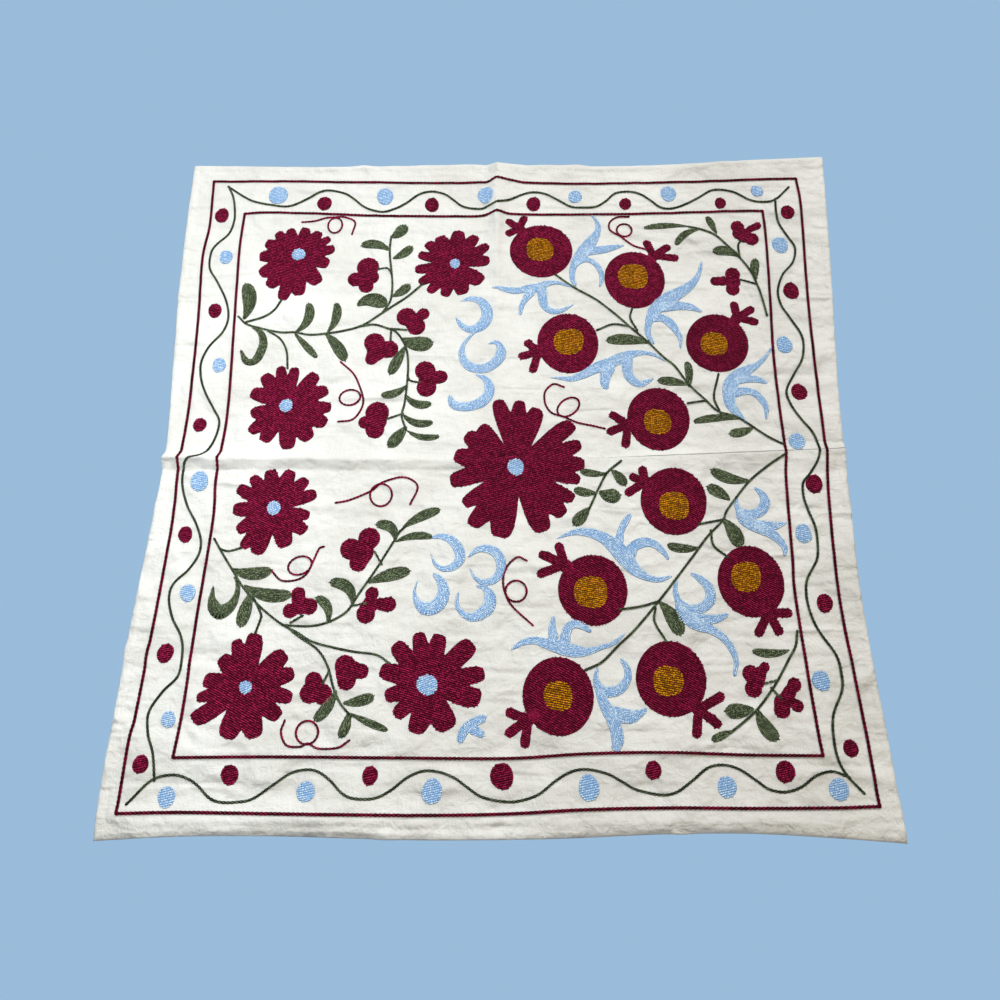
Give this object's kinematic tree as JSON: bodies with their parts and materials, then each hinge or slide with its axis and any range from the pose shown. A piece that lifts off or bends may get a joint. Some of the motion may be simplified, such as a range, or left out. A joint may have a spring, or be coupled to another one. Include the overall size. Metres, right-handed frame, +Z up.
{
  "type": "suzani embroidered textile",
  "caption": "Square cotton cloth with embroidered pomegranates, rosettes and a vine border, lying flat with raised fold creases, as a table cover or wall hanging.",
  "frame": {"origin": "middle of the cloth's outline box, on the surface that the cloth lies on", "axes": "+Z up through the cloth; +X towards the right edge and +Y towards the far edge, as seen in the picture"},
  "size_m": [1.016, 1.013, 0.0129],
  "materials": {
    "cotton_ground": "matt plain-weave cotton, off white",
    "crimson_thread": "dark crimson embroidery thread, soft sheen",
    "green_thread": "grey green embroidery thread, soft sheen",
    "blue_thread": "pale sky blue embroidery thread, soft sheen",
    "ochre_thread": "ochre embroidery thread, soft sheen"
  },
  "bodies": {
    "root": {"cloth": "cotton_ground"}
  },
  "joints": []
}
